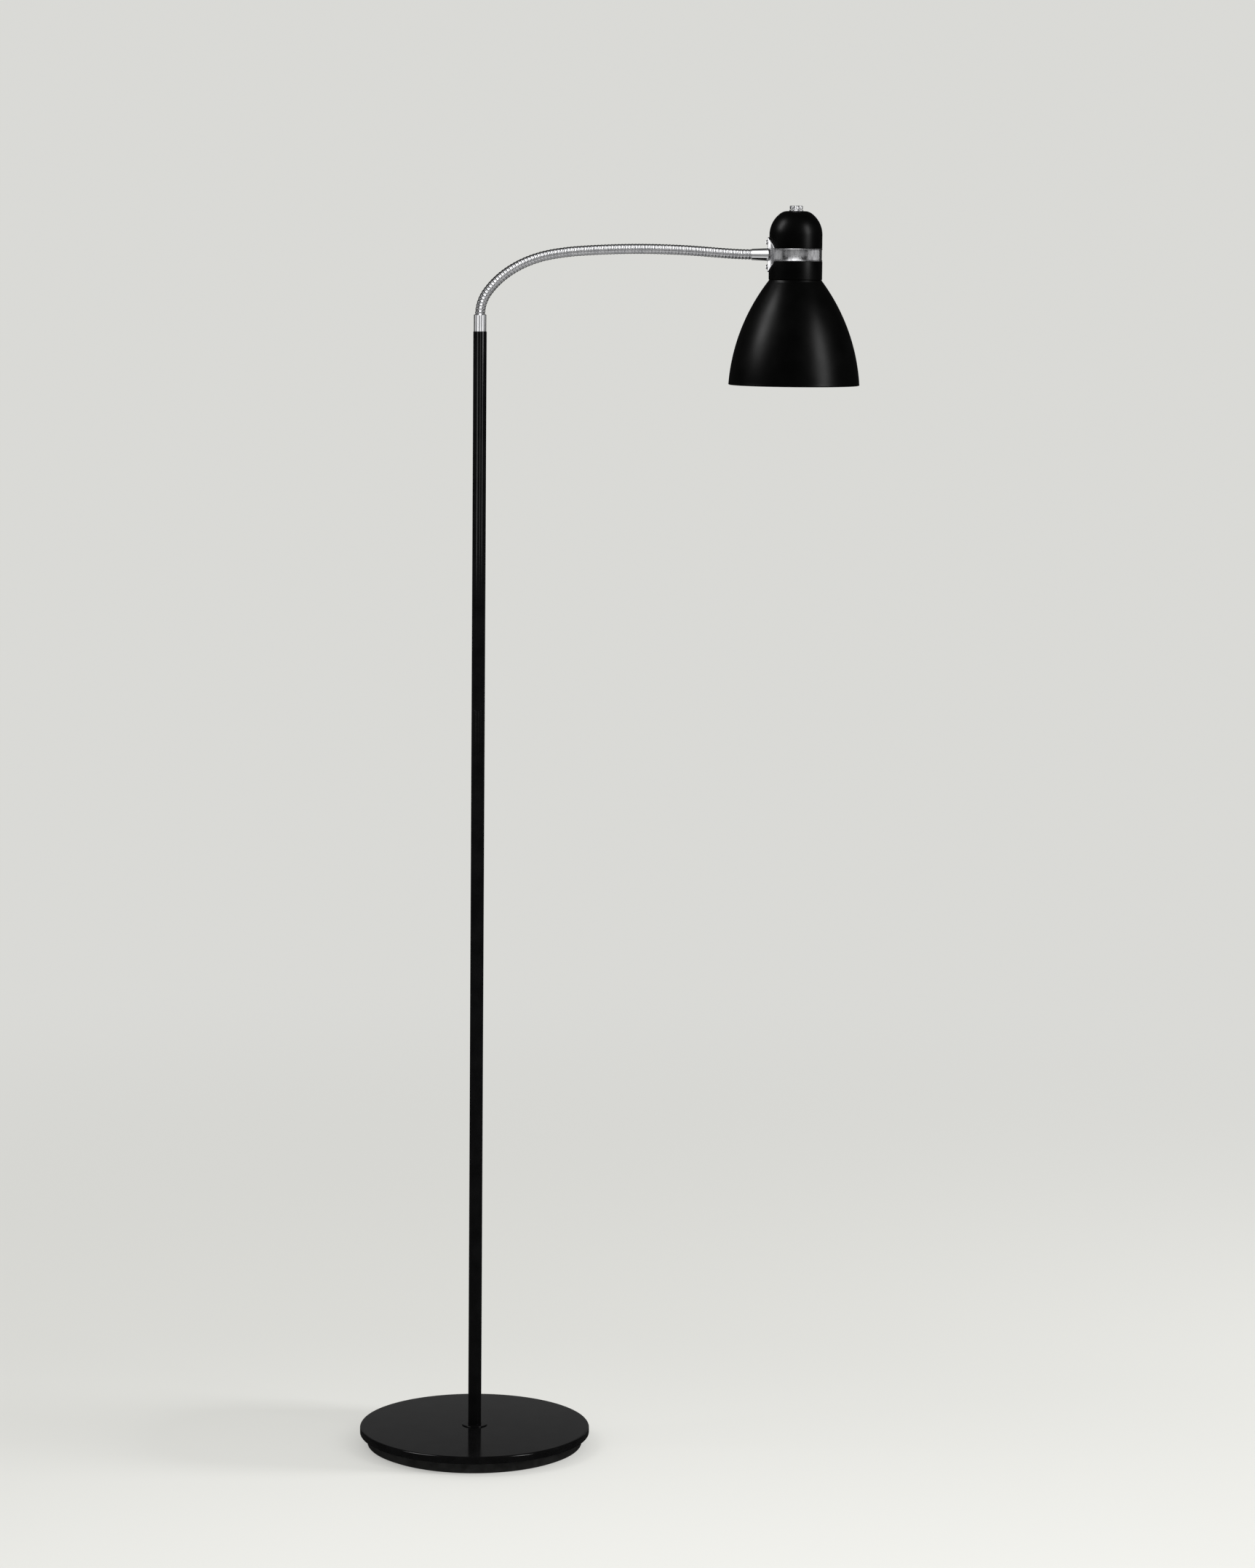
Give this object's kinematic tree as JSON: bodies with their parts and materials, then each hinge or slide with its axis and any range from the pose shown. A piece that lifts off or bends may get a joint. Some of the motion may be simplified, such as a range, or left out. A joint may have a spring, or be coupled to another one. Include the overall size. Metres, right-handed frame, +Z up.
{
  "type": "floor lamp",
  "caption": "Floor lamp with a round weighted base, tube stem, chrome gooseneck that bends up, down and sideways, and a bell shade under a domed housing with a rotary switch.",
  "frame": {"origin": "centre of the felt pad's underside, on the floor under the stem", "axes": "+Z up along the stem, +X from the stem towards the lamp head along the gooseneck, +Y completes a right-handed frame; the cord inlet faces +Y"},
  "size_m": [0.5898, 0.28, 1.5057],
  "materials": {
    "felt": "felt",
    "zinc_steel": "zinc plated",
    "cast_weight": "painted black, satin",
    "black_gloss_enamel": "gloss",
    "black_rubber": "matte",
    "ivory_plastic": "matte",
    "brass": "plain",
    "flex_sheath": "matte",
    "bright_chrome": "polished",
    "neck_chrome": "polished",
    "black_satin_enamel": "satin",
    "black_bakelite": "gloss",
    "insert_ceramic": "glazed",
    "bulb_opal": "opal",
    "bulb_cap_metal": "plain"
  },
  "bodies": {
    "stand": {"felt_pad": "felt", "bottom_plate": "zinc_steel", "bottom_plate_screws": "zinc_steel", "base_weight": "cast_weight", "base_cover": "black_gloss_enamel", "escutcheon": "black_gloss_enamel", "cord_bush": "black_rubber", "terminal_block": "ivory_plastic", "foot_tube": "brass", "foot_washer": "zinc_steel", "foot_nut": "zinc_steel", "foot_plug": "zinc_steel", "lower_stem": "black_gloss_enamel", "stem_joiner": "zinc_steel", "upper_stem": "black_gloss_enamel", "top_plug": "zinc_steel", "stem_flex": "flex_sheath", "neck_tube": "brass", "ferrule": "bright_chrome", "neck_link_01": "neck_chrome"},
    "neck_02": {"neck_link_02": "neck_chrome"},
    "neck_03": {"neck_link_03": "neck_chrome"},
    "neck_04": {"neck_link_04": "neck_chrome"},
    "neck_05": {"neck_link_05": "neck_chrome"},
    "neck_06": {"neck_link_06": "neck_chrome"},
    "neck_07": {"neck_link_07": "neck_chrome"},
    "neck_08": {"neck_link_08": "neck_chrome"},
    "neck_09": {"neck_link_09": "neck_chrome"},
    "neck_10": {"neck_link_10": "neck_chrome"},
    "neck_11": {"neck_link_11": "neck_chrome"},
    "neck_12": {"neck_link_12": "neck_chrome"},
    "head": {"neck_link_13": "neck_chrome", "end_sleeve": "bright_chrome", "head_tube": "brass", "head_nut": "zinc_steel", "band": "bright_chrome", "saddle_screws": "bright_chrome", "inner_sleeve": "zinc_steel", "dome_cap": "black_satin_enamel", "collar": "black_satin_enamel", "shade": "black_satin_enamel", "shade_ring": "black_bakelite", "holder_skirt": "black_bakelite", "holder_cap": "black_bakelite", "holder_insert": "insert_ceramic", "screw_shell": "brass", "centre_contact": "brass", "holder_tube": "brass", "holder_nut": "zinc_steel", "bridge": "zinc_steel", "bridge_screws": "zinc_steel", "bulb_glass": "bulb_opal", "bulb_cap": "bulb_cap_metal", "head_leads": "flex_sheath", "switch_body": "black_bakelite", "switch_ring": "bright_chrome"},
    "knob": {"switch_shaft": "zinc_steel", "switch_knob": "bright_chrome"}
  },
  "joints": [
    {"name": "neck_lower_bend", "type": "hinge", "parent": "stand", "child": "neck_02", "pos_m": [0, 0, 1.38945], "axis": [0.001, 1, 0], "range_deg": [-30, 6]},
    {"name": "neck_lower_bend_2", "type": "hinge", "parent": "neck_02", "child": "neck_03", "pos_m": [0.01746, 0, 1.41348], "axis": [0.001, 1, 0], "range_deg": [-18, 3.6]},
    {"name": "neck_side_bend", "type": "hinge", "parent": "neck_03", "child": "neck_04", "pos_m": [0.04118, 0, 1.43135], "axis": [-0.5, 0, 0.866], "range_deg": [-15, 15]},
    {"name": "neck_lower_bend_3", "type": "hinge", "parent": "neck_04", "child": "neck_05", "pos_m": [0.06852, 0, 1.44296], "axis": [0.001, 1, 0], "range_deg": [-18, 3.6]},
    {"name": "neck_lower_bend_4", "type": "hinge", "parent": "neck_05", "child": "neck_06", "pos_m": [0.09767, 0, 1.44862], "axis": [0.001, 1, 0], "range_deg": [-12, 2.4]},
    {"name": "neck_side_bend_2", "type": "hinge", "parent": "neck_06", "child": "neck_07", "pos_m": [0.12726, 0, 1.45121], "axis": [-0.0698, 0, 0.9976], "range_deg": [-15, 15]},
    {"name": "neck_upper_bend", "type": "hinge", "parent": "neck_07", "child": "neck_08", "pos_m": [0.15692, 0, 1.45277], "axis": [0.001, 1, 0], "range_deg": [-16, 16]},
    {"name": "neck_upper_bend_2", "type": "hinge", "parent": "neck_08", "child": "neck_09", "pos_m": [0.18661, 0, 1.45354], "axis": [0.001, 1, 0], "range_deg": [-16, 16]},
    {"name": "neck_side_bend_3", "type": "hinge", "parent": "neck_09", "child": "neck_10", "pos_m": [0.2163, 0, 1.45328], "axis": [0.0218, 0, 0.9998], "range_deg": [-15, 15]},
    {"name": "neck_upper_bend_3", "type": "hinge", "parent": "neck_10", "child": "neck_11", "pos_m": [0.24599, 0, 1.45225], "axis": [0.001, 1, 0], "range_deg": [-16, 16]},
    {"name": "neck_upper_bend_4", "type": "hinge", "parent": "neck_11", "child": "neck_12", "pos_m": [0.27561, 0, 1.45018], "axis": [0.001, 1, 0], "range_deg": [-16, 16]},
    {"name": "neck_side_bend_4", "type": "hinge", "parent": "neck_12", "child": "head", "pos_m": [0.30524, 0, 1.4481], "axis": [0.0349, 0, 0.9994], "range_deg": [-15, 15]},
    {"name": "switch_turn", "type": "hinge", "parent": "head", "child": "knob", "pos_m": [0.37209, 0, 1.50096], "axis": [0, 0, 1], "continuous": true}
  ],
  "couplings": [
    {"joint": "neck_lower_bend_2", "follows": "neck_lower_bend", "ratio": 0.6},
    {"joint": "neck_lower_bend_3", "follows": "neck_lower_bend", "ratio": 0.6},
    {"joint": "neck_lower_bend_4", "follows": "neck_lower_bend", "ratio": 0.4},
    {"joint": "neck_side_bend_2", "follows": "neck_side_bend", "ratio": 1},
    {"joint": "neck_upper_bend_2", "follows": "neck_upper_bend", "ratio": 1},
    {"joint": "neck_side_bend_3", "follows": "neck_side_bend", "ratio": 1},
    {"joint": "neck_upper_bend_3", "follows": "neck_upper_bend", "ratio": 1},
    {"joint": "neck_upper_bend_4", "follows": "neck_upper_bend", "ratio": 1},
    {"joint": "neck_side_bend_4", "follows": "neck_side_bend", "ratio": 1}
  ]
}
